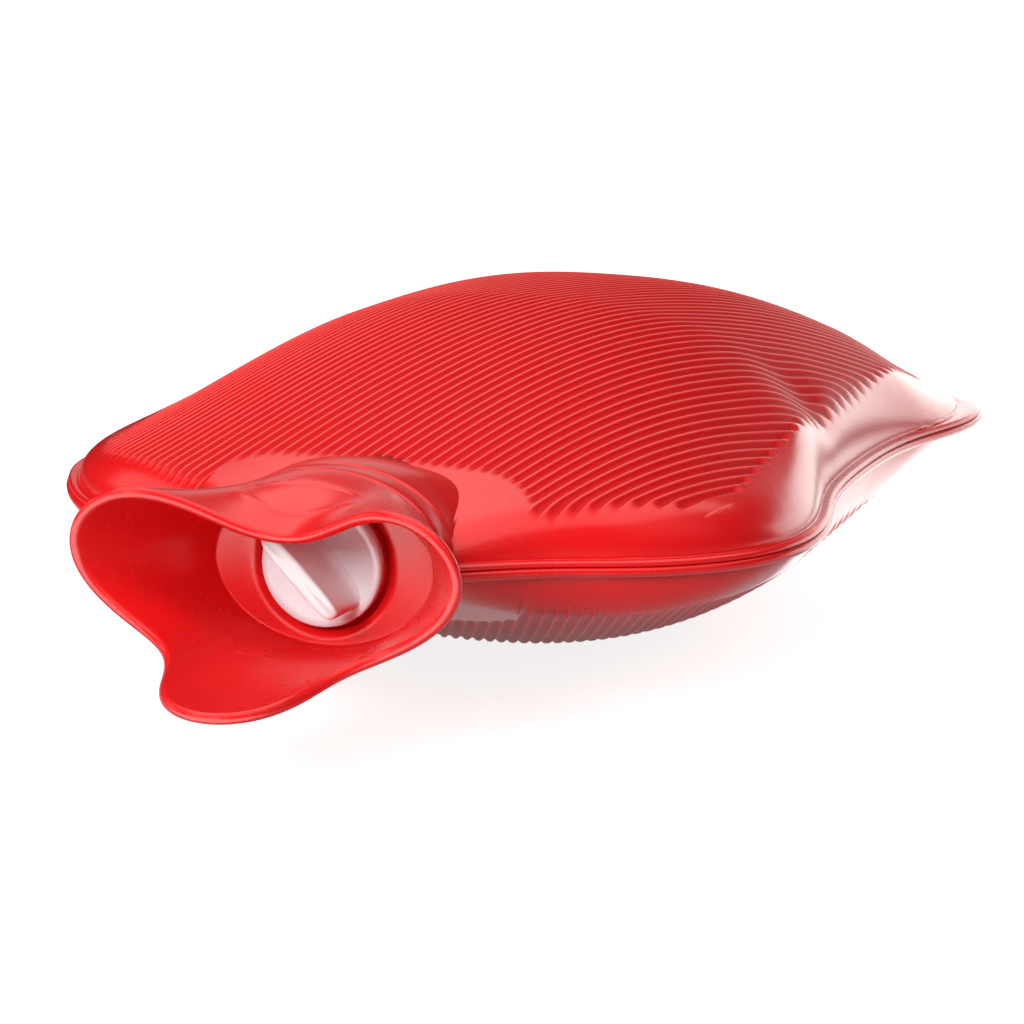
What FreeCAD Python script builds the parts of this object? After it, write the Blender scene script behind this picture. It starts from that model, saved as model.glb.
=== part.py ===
import FreeCAD, Part
import math
import os
from FreeCAD import Vector

# Hot water bottle: two domed halves joined at a flat rim, an oval neck with a wide pouring funnel, and
# a screw stopper with a blade grip and a soft washer. Sizes are in millimetres. The parts are drawn
# with the neck joint at y = 0, the length along +y and the parting plane at z = 0.

# Outline of the rim: half widths from the middle line and distances from the neck joint
RIM_START_HALF_WIDTH = 30.0
RIM_START_Y = 2.0
SHOULDER_HALF_WIDTH = 96.5
SHOULDER_Y = 80.0
WAIST_HALF_WIDTH = 87.5
WAIST_Y = 172.0
FOOT_HALF_WIDTH = 100.0
FOOT_Y = 264.0
BODY_LENGTH = 303.0
RIM_WIDTH = 3.0
RIM_THICKNESS = 3.2
RIM_EDGE_RADIUS = 1.2
RIM_FRONT_Y = 2.0

# Domes above and below the parting plane, one moulding for both
CROWN_RISE = 44.5
EDGE_RISE = 4.5
EDGE_RADIUS = 2.8
CREST_Y = 144.0
CROWN_HALF_WIDTH = 97.0
CROWN_END_GAP = 4.0
WALL = 2.6
FLAT_SPOT_DEPTH = 1.2
OUTSIDE_FRONT_Y = 5.0
INSIDE_FRONT_Y = 12.0

# Ribbed panel on each face: straight sides, slanted shoulders, an arc about the neck, and its ribs
PANEL_SIDE_GAP = 3.3
PANEL_END_GAP = 20.0
PANEL_NECK_GAP = 25.0
PANEL_ARC_Y = -14.0
RIB_PITCH = 2.9
RIB_DEPTH = 0.9
RIB_ANGLE = 22.0
RIB_RUN_OUT = 9.0
RIB_RUN_SHARE = 0.3
RIB_SHORTEST = 12.0
RIB_KNOTS = [0.0, 0.05, 0.14, 0.3, 0.5, 0.7, 0.86, 0.95, 1.0]
SEAM_TOLERANCE = 0.1

# Oval neck
NECK_HALF_WIDTH = 29.4
NECK_HALF_HEIGHT = 21.8
NECK_WALL = 3.0
NECK_STRAIGHT = 15.0
NECK_ROOT_FLARE = 6.0
NECK_ROOT_DROP = 5.0
NECK_ROOT_GAP = 2.5
NECK_GROOVE_Y = 7.6
NECK_GROOVE_WIDTH = 1.0
NECK_GROOVE_DEPTH = 0.7

# Funnel: the free edge dips at the upper lip, rises at two lobes and runs out into a lower tongue
FUNNEL_HALF_WIDTH = 46.2
FUNNEL_WALL = 2.6
FUNNEL_DISH = ((0.12, 0.024), (0.4, 0.083), (0.75, 0.048))
FLOOR_Y = -0.6
LIP_Y = -28.0
LIP_HEIGHT = 11.8
LOBE_Y = -38.0
LOBE_HEIGHT = 21.9
NOTCH_HALF_WIDTH = 20.0
TONGUE_Y = -68.8
TONGUE_DEPTH = 21.2
PLUG_LENGTH = 7.0
PLUG_CLEARANCE = 0.05

# Threaded socket in the funnel floor
SOCKET_RADIUS = 17.8
SOCKET_LENGTH = 17.0
SEAT_RADIUS = 15.8
SEAT_DEPTH = 3.2
SEAT_BEVEL = 1.4

# Stopper and washer
SHANK_RADIUS = 12.6
SHANK_CLEARANCE = 0.35
SHANK_LENGTH = 13.0
SHANK_WALL = 2.4
DISC_RADIUS = 14.6
DISC_THICKNESS = 3.4
DISC_EDGE_RADIUS = 0.7
DISH_RADIUS = 12.4
DISH_DEPTH = 0.9
BLADE_LENGTH = 25.0
BLADE_THICKNESS = 3.8
BLADE_HEIGHT = 8.6
BLADE_END_RADIUS = 3.0
BLADE_EDGE_RADIUS = 0.9
BLADE_ANGLE = 42.0
WASHER_THICKNESS = 1.8
WASHER_CLEARANCE = 0.3
WASHER_PLAY = 0.1

# Heights and places that follow from the sizes above
PARTING_HEIGHT = CROWN_RISE - FLAT_SPOT_DEPTH
BORE_HALF_WIDTH = NECK_HALF_WIDTH - NECK_WALL
BORE_HALF_HEIGHT = NECK_HALF_HEIGHT - NECK_WALL
WASHER_Y = FLOOR_Y + SEAT_DEPTH - WASHER_CLEARANCE - WASHER_THICKNESS
DISC_BACK_Y = WASHER_Y - WASHER_PLAY
DISC_FRONT_Y = DISC_BACK_Y - DISC_THICKNESS
PANEL_HALF_WIDTH = WAIST_HALF_WIDTH - RIM_WIDTH - PANEL_SIDE_GAP
PANEL_FRONT_X = 1.5 * NECK_HALF_WIDTH
PANEL_FRONT_Y = 0.245 * SHOULDER_Y
PANEL_CORNER_Y = 0.63 * SHOULDER_Y
PANEL_ARC_RADIUS = NECK_HALF_WIDTH + PANEL_NECK_GAP
NECK_REACH = PANEL_ARC_Y + PANEL_ARC_RADIUS - NECK_ROOT_GAP

# How far cutting blocks reach past a face, and how near a plane a face or edge counts as on it
OVERRUN = 1.0
ON_PLANE = 0.05


def smooth_curve(points):
    curve = Part.BSplineCurve()
    curve.interpolate(points)
    return curve


def outline_half():
    """Points of the right half of the rim, from the neck round the shoulder and waist to the foot."""
    waist_side = (WAIST_HALF_WIDTH + SHOULDER_HALF_WIDTH) / 2 - 2.0
    hip_side = (WAIST_HALF_WIDTH + FOOT_HALF_WIDTH) / 2 - 1.8
    return [
        Vector(RIM_START_HALF_WIDTH, RIM_START_Y, 0),
        Vector(0.50 * SHOULDER_HALF_WIDTH, 0.20 * SHOULDER_Y, 0),
        Vector(0.70 * SHOULDER_HALF_WIDTH, 0.33 * SHOULDER_Y, 0),
        Vector(0.93 * SHOULDER_HALF_WIDTH, 0.62 * SHOULDER_Y, 0),
        Vector(SHOULDER_HALF_WIDTH, SHOULDER_Y, 0),
        Vector(waist_side, (SHOULDER_Y + WAIST_Y) / 2, 0),
        Vector(WAIST_HALF_WIDTH, WAIST_Y, 0),
        Vector(hip_side, (WAIST_Y + FOOT_Y) / 2 + 6.0, 0),
        Vector(FOOT_HALF_WIDTH, FOOT_Y, 0),
        Vector(0.925 * FOOT_HALF_WIDTH, FOOT_Y + 0.68 * (BODY_LENGTH - FOOT_Y), 0),
        Vector(0.72 * FOOT_HALF_WIDTH, BODY_LENGTH - 4.0, 0),
        Vector(0.40 * FOOT_HALF_WIDTH, BODY_LENGTH - 0.6, 0),
    ]


def outline_face(inset, front_y):
    """Plan face of the bag, moved in from the rim by the inset and closed straight across the neck."""
    half = outline_half()
    loop = half + [Vector(0, BODY_LENGTH, 0)] + [Vector(-p.x, p.y, 0) for p in reversed(half)]
    rim = smooth_curve(loop)
    moved = []
    for point in loop:
        along = rim.tangent(rim.parameter(point))[0]
        moved.append(point + Vector(-along.y, along.x, 0) * inset)
    moved[0].y = front_y
    moved[-1].y = front_y
    front = Part.LineSegment(moved[-1], moved[0])
    return Part.Face(Part.Wire([smooth_curve(moved).toShape(), front.toShape()]))


def crown_height(x, y):
    """Height of a dome above the parting plane: pointed to the neck and blunt to the foot."""
    across = 1 - abs(x / CROWN_HALF_WIDTH) ** 2.5
    if y < CREST_Y:
        along = 1 - ((CREST_Y - y) / CREST_Y) ** 1.7
    else:
        along = 1 - ((y - CREST_Y) / (BODY_LENGTH - CROWN_END_GAP - CREST_Y)) ** 3.3
    return EDGE_RISE + (CROWN_RISE - EDGE_RISE) * across * along


def crown_surface(drop):
    """Smooth surface through the dome heights, lowered by the drop."""
    half = max(SHOULDER_HALF_WIDTH, FOOT_HALF_WIDTH)
    rows = []
    for i in range(-4, 5):
        x = half * i / 4
        ys = [BODY_LENGTH * j / 10 for j in range(11)]
        rows.append([Vector(x, y, crown_height(x, y) - drop) for y in ys])
    surface = Part.BSplineSurface()
    surface.interpolate(rows)
    return surface


def dome(inset, front_y, drop):
    """Outline drawn up and trimmed by the crown."""
    block = outline_face(inset, front_y).extrude(Vector(0, 0, CROWN_RISE + OVERRUN))
    lid = crown_surface(drop).toShape().extrude(Vector(0, 0, CROWN_RISE + 2 * OVERRUN))
    return block.cut(lid)


def long_edges(shape, above):
    """Edges that run the length of the bag, clear of the parting plane."""
    half_length = BODY_LENGTH / 2
    return [e for e in shape.Edges if e.BoundBox.YLength > half_length and e.BoundBox.ZMin > above]


def rounded_dome():
    plain = dome(RIM_WIDTH, OUTSIDE_FRONT_Y, 0.0)
    return plain.makeFillet(EDGE_RADIUS, long_edges(plain, EDGE_RISE / 2))


def oval_wire(half_width, half_height, y):
    """Ellipse that stands across the neck at y."""
    wide = Vector(half_width, y, 0)
    high = Vector(0, y, half_height)
    return Part.Wire(Part.Ellipse(wide, high, Vector(0, y, 0)).toShape())


def oval_bar(half_width, half_height, y_from, y_to):
    face = Part.Face(oval_wire(half_width, half_height, y_from))
    return face.extrude(Vector(0, y_to - y_from, 0))


def round_bar(radius, y_from, y_to):
    """Round bar along the neck axis."""
    return Part.makeCylinder(radius, y_to - y_from, Vector(0, y_from, 0), Vector(0, 1, 0))


def rim_plate():
    """Flat welded rim all round the bag, with its outer edges rounded."""
    plate = outline_face(0.0, RIM_FRONT_Y).extrude(Vector(0, 0, RIM_THICKNESS))
    plate = plate.makeFillet(RIM_EDGE_RADIUS, long_edges(plate, -OVERRUN))
    plate.translate(Vector(0, 0, -RIM_THICKNESS / 2))
    return plate


def neck_form(half_width, half_height):
    """Oval bar along the neck, straight at first and then spread into the shoulder."""
    root = [
        oval_wire(half_width, half_height, NECK_STRAIGHT),
        oval_wire(half_width + NECK_ROOT_FLARE, half_height - NECK_ROOT_DROP, NECK_REACH),
    ]
    return oval_bar(half_width, half_height, 0.0, NECK_STRAIGHT).fuse(Part.makeLoft(root, True, True))


def neck_outside():
    """Outer form of the neck with its ring groove."""
    start = NECK_GROOVE_Y - NECK_GROOVE_WIDTH / 2
    end = NECK_GROOVE_Y + NECK_GROOVE_WIDTH / 2
    ring = oval_bar(NECK_HALF_WIDTH + OVERRUN, NECK_HALF_HEIGHT + OVERRUN, start, end)
    core = oval_bar(NECK_HALF_WIDTH - NECK_GROOVE_DEPTH, NECK_HALF_HEIGHT - NECK_GROOVE_DEPTH, start, end)
    return neck_form(NECK_HALF_WIDTH, NECK_HALF_HEIGHT).cut(ring.cut(core))


def panel_margin(x, y):
    """Distance inside the ribbed panel, negative outside it."""
    slope = math.atan2(PANEL_CORNER_Y - PANEL_FRONT_Y, PANEL_HALF_WIDTH - PANEL_FRONT_X)
    shoulder = (y - PANEL_FRONT_Y) * math.cos(slope) - (abs(x) - PANEL_FRONT_X) * math.sin(slope)
    neck = math.hypot(x, y - PANEL_ARC_Y) - PANEL_ARC_RADIUS
    return min(PANEL_HALF_WIDTH - abs(x), shoulder, neck, BODY_LENGTH - PANEL_END_GAP - y)


def rib_span(offset):
    """Start and end, in plan, of the line at the rib angle that lies at an offset from the middle."""
    turn = math.radians(RIB_ANGLE)
    along = Vector(math.sin(turn), math.cos(turn), 0)
    middle = Vector(offset * math.cos(turn), BODY_LENGTH / 2 - offset * math.sin(turn), 0)
    reach = int(BODY_LENGTH)
    inside = [t for t in range(-reach, reach) if panel_margin(*(middle + along * t)[:2]) > 0]
    if not inside:
        return None
    return middle + along * inside[0], middle + along * inside[-1]


def rib_spans():
    """Spans of all the crest and valley lines, a crest first and a crest last."""
    count = int(2 * BODY_LENGTH / RIB_PITCH)
    spans = {i: rib_span(i * RIB_PITCH / 2) for i in range(-count, count)}
    long_enough = [i for i, span in spans.items() if span and (span[1] - span[0]).Length > RIB_SHORTEST]
    first = min(i for i in long_enough if i % 2 == 0)
    last = max(i for i in long_enough if i % 2 == 0)
    return [(spans[i], i % 2 == 1) for i in range(first, last + 1)]


def rib_line(span, crown, depth):
    """Crest or valley over the dome: on the crown where it ends, sunk by its depth between."""
    start, end = span
    run = min(RIB_RUN_OUT / (end - start).Length, RIB_RUN_SHARE)
    points = []
    for share in RIB_KNOTS:
        spot = start + (end - start) * share
        fade = min(share / run, (1 - share) / run, 1.0)
        on_crown = Part.Line(spot, spot + Vector(0, 0, 1)).intersect(crown)[0][0]
        points.append(Vector(spot.x, spot.y, on_crown.Z - depth * math.sin(fade * math.pi / 2)))
    curve = Part.BSplineCurve()
    curve.interpolate(Points=points, Parameters=RIB_KNOTS)
    return curve


def strip(first, second):
    """Ruled face between two lines that share their knots."""
    face = Part.BSplineSurface()
    face.buildFromPolesMultsKnots(
        [first.getPoles(), second.getPoles()],
        [2, 2],
        first.getMultiplicities(),
        [0.0, 1.0],
        first.getKnots(),
        False,
        False,
        1,
        3,
    )
    return face.toShape()


def ribbed(faces):
    """Faces of a half with the middle of its crown, the largest face, replaced by the ribs."""
    crown = max(faces, key=lambda face: face.Area)
    lines = [rib_line(span, crown.Surface, RIB_DEPTH * valley) for span, valley in rib_spans()]
    loop = [line.StartPoint for line in lines] + [line.EndPoint for line in reversed(lines)]
    plan = Part.Face(Part.makePolygon([Vector(p.x, p.y, 0) for p in loop + [loop[0]]]))
    smooth = crown.cut(plan.extrude(Vector(0, 0, 2 * CROWN_RISE)))
    strips = [strip(a, b) for a, b in zip(lines, lines[1:])]
    new = smooth.Faces + strips
    for face in new:
        face.fixTolerance(SEAM_TOLERANCE)
    return [face for face in faces if not face.isSame(crown)] + new


def at_parting(face):
    return face.BoundBox.ZMin > -ON_PLANE and face.BoundBox.ZMax < ON_PLANE


def at_mouth(face):
    return face.BoundBox.YMax < ON_PLANE


def block_below(z):
    """Block that takes away all that lies lower than z."""
    width = 3 * FOOT_HALF_WIDTH
    corner = Vector(-width / 2, -OVERRUN, z - CROWN_RISE)
    return Part.makeBox(width, 2 * BODY_LENGTH, CROWN_RISE, corner)


def half_outside():
    """Outer form of one half: dome, half the rim and half the neck, flat at the parting plane."""
    whole = rounded_dome().fuse(rim_plate()).fuse(neck_outside())
    return whole.cut(block_below(0.0)).removeSplitter()


def half_inside(drop):
    """Water space of one half with its half of the neck bore, the crown lowered by the drop."""
    bore = neck_form(BORE_HALF_WIDTH, BORE_HALF_HEIGHT).cut(block_below(0.0))
    return dome(RIM_WIDTH + WALL, INSIDE_FRONT_Y, drop).fuse(bore).removeSplitter()


def hollow_half(outside, inside):
    """Solid between the two forms, joined by flat faces at the parting plane and at the mouth."""
    faces = ribbed([f for f in outside.Faces if not at_parting(f) and not at_mouth(f)])
    faces += [f.reversed() for f in inside.Faces if not at_parting(f) and not at_mouth(f)]
    for on_plane in (at_parting, at_mouth):
        outer = [f for f in outside.Faces if on_plane(f)]
        inner = [f for f in inside.Faces if on_plane(f)]
        faces += outer[0].cut(inner[0]).Faces
    shell = Part.Shell(faces)
    shell.sewShape()
    return Part.Solid(shell)


def upper_half():
    """Upper sheet of the bag with its half of the rim and the neck."""
    return hollow_half(half_outside(), half_inside(WALL))


def flat_spot():
    """Block above the height at which the crown is pressed flat."""
    block = block_below(0.0)
    block.translate(Vector(0, 0, PARTING_HEIGHT + CROWN_RISE))
    return block


def lower_half():
    """Same moulding turned over, pressed flat where it rests."""
    half = hollow_half(half_outside(), half_inside(WALL + FLAT_SPOT_DEPTH))
    half = half.cut(flat_spot()).Solids[0]
    half.rotate(Vector(0, 0, 0), Vector(0, 1, 0), 180)
    return half


def free_edge():
    """Half of the funnel's free edge: from the lip over a lobe and down past the notch to the tongue."""
    return [
        Vector(0, LIP_Y, LIP_HEIGHT),
        Vector(0.21 * FUNNEL_HALF_WIDTH, LIP_Y - 2.1, LIP_HEIGHT + 2.4),
        Vector(0.43 * FUNNEL_HALF_WIDTH, LIP_Y - 6.7, 0.87 * LOBE_HEIGHT),
        Vector(0.65 * FUNNEL_HALF_WIDTH, LOBE_Y, LOBE_HEIGHT),
        Vector(0.87 * FUNNEL_HALF_WIDTH, LOBE_Y - 1.0, 0.85 * LOBE_HEIGHT),
        Vector(FUNNEL_HALF_WIDTH, LOBE_Y + 0.3, 0.46 * LOBE_HEIGHT),
        Vector(0.96 * FUNNEL_HALF_WIDTH, LOBE_Y + 2.0, 0),
        Vector(0.77 * FUNNEL_HALF_WIDTH, LOBE_Y + 2.5, -0.40 * TONGUE_DEPTH),
        Vector(NOTCH_HALF_WIDTH + 5.8, LOBE_Y, -0.63 * TONGUE_DEPTH),
        Vector(NOTCH_HALF_WIDTH, LOBE_Y - 6.6, -0.76 * TONGUE_DEPTH),
        Vector(0.82 * NOTCH_HALF_WIDTH, 0.80 * TONGUE_Y, -0.87 * TONGUE_DEPTH),
        Vector(0.51 * NOTCH_HALF_WIDTH, 0.94 * TONGUE_Y, -0.96 * TONGUE_DEPTH),
        Vector(0, TONGUE_Y, -TONGUE_DEPTH),
    ]


def oval_half(half_width, half_height, y, count):
    """Points of half an oval from top to bottom, as many as the free edge has."""
    angles = [math.pi / 2 - math.pi * i / (count - 1) for i in range(count)]
    return [Vector(half_width * math.cos(a), y, half_height * math.sin(a)) for a in angles]


def thinned(ring, wall):
    """Half ring moved towards the axis by the wall."""
    return [p - Vector(p.x, 0, p.z).normalize() * wall for p in ring]


def between(start, end, share, dish):
    """Half ring part of the way from one half ring to another, dished by a share of the flare."""
    ring = []
    for p, q in zip(start, end):
        point = p + (q - p) * share
        outward = Vector(point.x, 0, point.z).normalize()
        flare = math.hypot(q.x, q.z) - math.hypot(p.x, p.z)
        ring.append(point - outward * dish * flare)
    return ring


def closed_ring(half):
    """Whole ring from half of it and its mirror image."""
    return half + [Vector(-p.x, p.y, p.z) for p in reversed(half[1:-1])]


def funnel_skin():
    """One smooth skin: up the outside, over the rounded free edge and down the inside to the floor."""
    edge = free_edge()
    count = len(edge)
    base = oval_half(NECK_HALF_WIDTH, NECK_HALF_HEIGHT, 0.0, count)
    floor = oval_half(NECK_HALF_WIDTH - FUNNEL_WALL, NECK_HALF_HEIGHT - FUNNEL_WALL, FLOOR_Y, count)
    inner_edge = thinned(edge, FUNNEL_WALL)
    outside = [base] + [between(base, edge, share, dish) for share, dish in FUNNEL_DISH]
    over = [
        between(base, edge, 0.96, 0.0),
        between(base, edge, 1.03, 0.0),
        between(floor, inner_edge, 1.03, 0.0),
        between(floor, inner_edge, 0.96, 0.0),
    ]
    inside = [between(floor, inner_edge, share, dish) for share, dish in reversed(FUNNEL_DISH)]
    poles = [closed_ring(ring) for ring in outside + over + inside + [floor]]
    along = len(poles)
    around = len(poles[0])
    along_knots = [4] + [1] * (along - 4) + [4]
    around_knots = [1] * (around + 1)
    surface = Part.BSplineSurface()
    surface.buildFromPolesMultsKnots(
        poles,
        along_knots,
        around_knots,
        list(range(len(along_knots))),
        list(range(len(around_knots))),
        False,
        True,
        3,
        3,
    )
    return surface.toShape()


def funnel():
    """Flared cup with a floor, an oval plug for the neck and a socket for the stopper."""
    skin = funnel_skin()
    flat_ends = [Part.Face(Part.Wire(e)) for e in skin.Edges if e.BoundBox.YLength < ON_PLANE]
    shell = Part.Shell([skin] + flat_ends)
    shell.sewShape()
    solid = Part.Solid(shell)
    plug_width = BORE_HALF_WIDTH - PLUG_CLEARANCE
    plug_height = BORE_HALF_HEIGHT - PLUG_CLEARANCE
    solid = solid.fuse(oval_bar(plug_width, plug_height, FLOOR_Y / 2, PLUG_LENGTH))
    solid = solid.fuse(round_bar(SOCKET_RADIUS, 0.0, SOCKET_LENGTH))
    bore = round_bar(SHANK_RADIUS + SHANK_CLEARANCE, FLOOR_Y - OVERRUN, SOCKET_LENGTH + OVERRUN)
    seat = round_bar(SEAT_RADIUS, FLOOR_Y - OVERRUN, FLOOR_Y + SEAT_DEPTH)
    bevel = Part.makeCone(
        SEAT_RADIUS + 2 * SEAT_BEVEL,
        SEAT_RADIUS,
        2 * SEAT_BEVEL,
        Vector(0, FLOOR_Y - SEAT_BEVEL, 0),
        Vector(0, 1, 0),
    )
    return solid.cut(bore.fuse(seat).fuse(bevel))


def blade():
    """Grip that stands on the disc, rounded at its ends and along its edges, turned as it rests."""
    foot_y = DISC_FRONT_Y + DISH_DEPTH + 0.5
    corner = Vector(-BLADE_LENGTH / 2, DISC_FRONT_Y - BLADE_HEIGHT, -BLADE_THICKNESS / 2)
    slab = Part.makeBox(BLADE_LENGTH, foot_y - corner.y, BLADE_THICKNESS, corner)
    upright = [
        e for e in slab.Edges if e.BoundBox.ZLength > BLADE_THICKNESS / 2 and e.BoundBox.YMax < foot_y - 1
    ]
    slab = slab.makeFillet(BLADE_END_RADIUS, upright)
    top = [e for e in slab.Edges if e.BoundBox.ZLength < ON_PLANE and e.BoundBox.YMin < foot_y - 1]
    slab = slab.makeFillet(BLADE_EDGE_RADIUS, top)
    slab.rotate(Vector(0, 0, 0), Vector(0, 1, 0), BLADE_ANGLE)
    return slab


def stopper():
    """Round disc with a shallow dish and a blade grip, on a hollow shank."""
    end_y = DISC_BACK_Y + SHANK_LENGTH
    disc = round_bar(DISC_RADIUS, DISC_FRONT_Y, DISC_BACK_Y)
    disc = disc.makeFillet(DISC_EDGE_RADIUS, [e for e in disc.Edges if e.BoundBox.YLength < ON_PLANE])
    disc = disc.cut(round_bar(DISH_RADIUS, DISC_FRONT_Y - OVERRUN, DISC_FRONT_Y + DISH_DEPTH))
    shank = round_bar(SHANK_RADIUS, DISC_BACK_Y - DISC_EDGE_RADIUS, end_y)
    hollow = round_bar(SHANK_RADIUS - SHANK_WALL, DISC_BACK_Y, end_y + OVERRUN)
    return disc.fuse(shank).cut(hollow).fuse(blade())


def sealing_washer():
    """Flat soft ring on the shank, between the disc and the seat."""
    end_y = WASHER_Y + WASHER_THICKNESS
    ring = round_bar(DISC_RADIUS - WASHER_PLAY, WASHER_Y, end_y)
    return ring.cut(round_bar(SHANK_RADIUS + WASHER_PLAY, WASHER_Y - OVERRUN, end_y + OVERRUN))


def main():
    """Set every part on the flat spot, with the crest over the origin, and write it out."""
    parts = {
        "upper_half": upper_half(),
        "lower_half": lower_half(),
        "funnel": funnel(),
        "sealing_washer": sealing_washer(),
        "stopper": stopper(),
    }
    os.makedirs("parts", exist_ok=True)
    for node, shape in parts.items():
        shape.translate(Vector(0, -CREST_Y, PARTING_HEIGHT))
        shape.exportStep("parts/" + node + ".step")
        print(node, "valid" if shape.isValid() else "NOT VALID", round(shape.Volume / 1000, 2), "cm3")


main()
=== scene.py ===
# %% [markdown]
# A rubber hot water bottle lies flat, with its funnel towards the camera and slightly to the left. The CAD
# model is the fixed frame. It gives the sizes, the places and the stopper's motion. The pieces made here
# replace its plain solids with finer ribs, a rolled rim and a soft funnel, at the same sizes.
#
# Shapes are written in millimetres in the bottle's own axes: the neck joint is at y = 0, the length runs
# along +y and the parting plane is z = 0. One function moves them to the frame and to metres.

import math

import bpy
import numpy as np
from mathutils import Matrix, Vector


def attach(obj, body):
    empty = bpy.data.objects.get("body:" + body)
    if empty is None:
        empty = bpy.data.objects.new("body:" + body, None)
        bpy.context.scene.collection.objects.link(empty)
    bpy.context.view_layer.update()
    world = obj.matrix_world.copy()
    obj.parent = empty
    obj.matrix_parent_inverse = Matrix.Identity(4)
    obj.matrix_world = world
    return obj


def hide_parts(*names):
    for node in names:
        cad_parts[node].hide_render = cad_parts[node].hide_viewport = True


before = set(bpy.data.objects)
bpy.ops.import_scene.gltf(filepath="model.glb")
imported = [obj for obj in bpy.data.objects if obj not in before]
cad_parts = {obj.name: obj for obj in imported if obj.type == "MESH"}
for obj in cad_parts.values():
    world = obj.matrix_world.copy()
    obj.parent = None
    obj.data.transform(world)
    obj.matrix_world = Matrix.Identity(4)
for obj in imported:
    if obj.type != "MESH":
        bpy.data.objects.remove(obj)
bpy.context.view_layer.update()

# %% [markdown]
# The bottle is soft moulded rubber. Its smooth faces could be sculpted, or grown from a coarse cage by a
# Subdivision Surface modifier. Here each piece is a grid of points from a formula instead, because that keeps
# the sizes of the frame and comes out the same every time. Quads join neighbouring rows and columns, and
# either may close on itself. Every mesh is written in one go, with smooth shading, at the frame's origin.

# %% Grids and meshes
MM = 0.001
TO_FRAME = np.array([0.0, -144.0, 43.3])


def quads(rows, columns, first=0, closed=False, looped=False):
    """Corner indices of the quads in a grid whose points are stored row by row. The last column of a closed
    grid joins its first, and the last row of a looped one its first."""
    grid = first + np.arange(rows * columns).reshape(rows, columns)
    if looped:
        grid = np.concatenate([grid, grid[:1]])
    if closed:
        grid = np.concatenate([grid, grid[:, :1]], axis=1)
    corners = [grid[:-1, :-1], grid[:-1, 1:], grid[1:, 1:], grid[1:, :-1]]
    return np.stack(corners, axis=-1).reshape(-1, 4)


def fan(ring, centre):
    """Triangles from the points of a closed ring to one centre point."""
    ring = np.asarray(ring)
    return np.stack([ring, np.roll(ring, -1), np.full(len(ring), centre)], axis=-1)


def tube(rings):
    """Points and faces through closed rings of equal count. The last ring joins the first."""
    rings = np.stack(rings)
    return rings.reshape(-1, 3), [quads(*rings.shape[:2], closed=True, looped=True)]


def capped(rings, front, back):
    """Points and faces through closed rings, with a fan to a centre point at each end."""
    rings = np.stack(rings)
    rows, columns = rings.shape[:2]
    points = rings.reshape(-1, 3)
    first = np.arange(columns)
    last = (rows - 1) * columns + first
    faces = [quads(rows, columns, closed=True), fan(first, len(points))[:, ::-1], fan(last, len(points) + 1)]
    return np.concatenate([points, [front, back]]), faces


def new_piece(name, points, faces, body, material, replaced=None, values=None):
    """Mesh object from points in millimetres and a list of face arrays, riding on a body. Values are named
    attributes with one number per point."""
    mesh = bpy.data.meshes.new(name)
    points = (np.asarray(points, float) + TO_FRAME) * MM
    sizes = np.concatenate([np.full(len(f), f.shape[1]) for f in faces])
    corners = np.concatenate([f.ravel() for f in faces])
    mesh.vertices.add(len(points))
    mesh.vertices.foreach_set("co", points.ravel())
    mesh.loops.add(len(corners))
    mesh.loops.foreach_set("vertex_index", corners.astype(np.int32))
    mesh.polygons.add(len(sizes))
    mesh.polygons.foreach_set("loop_start", (np.cumsum(sizes) - sizes).astype(np.int32))
    mesh.update(calc_edges=True)
    mesh.validate()
    mesh.polygons.foreach_set("use_smooth", np.ones(len(mesh.polygons), bool))
    for label, value in (values or {}).items():
        attribute = mesh.attributes.new(label, "FLOAT", "POINT")
        attribute.data.foreach_set("value", np.asarray(value, np.float32))
    mesh.materials.append(material)
    piece = bpy.data.objects.new(name, mesh)
    bpy.context.collection.objects.link(piece)
    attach(piece, body)
    if replaced:
        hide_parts(*replaced)
    print(name, len(points), "points,", int((sizes - 2).sum()), "triangles")
    return piece

# %% [markdown]
# The bag is moulded in two halves that meet at a flat rim. Its outline runs from the neck round the shoulders
# and the waist to the foot. It could be drawn as a Bezier curve by hand, but a spline through measured points
# can be read, mirrored and sampled as arrays. The wall stands on a foot line a little inside the outline, and
# round the foot the flat rim between them is wider.

# %% Outline of the rim
BODY_LENGTH = 303.0
CENTRE = np.array([0.0, 151.5])
RIM_WIDTH = 3.0
FOOT_WIDENING = 4.0
FOOT_ZONE = (225.0, 275.0)
OUTLINE = [(30, 2), (48.2, 16), (67.6, 26.4), (89.7, 49.6), (96.5, 80), (90, 126), (87.5, 172), (92, 224),
           (100, 264), (92.5, 290.5), (72, 299), (40, 302.4)]


def smooth_step(value, start, end):
    """0 before the start, 1 past the end, and t^2 (3 - 2t) between them."""
    t = np.clip((value - start) / (end - start), 0, 1)
    return t * t * (3 - 2 * t)


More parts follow.
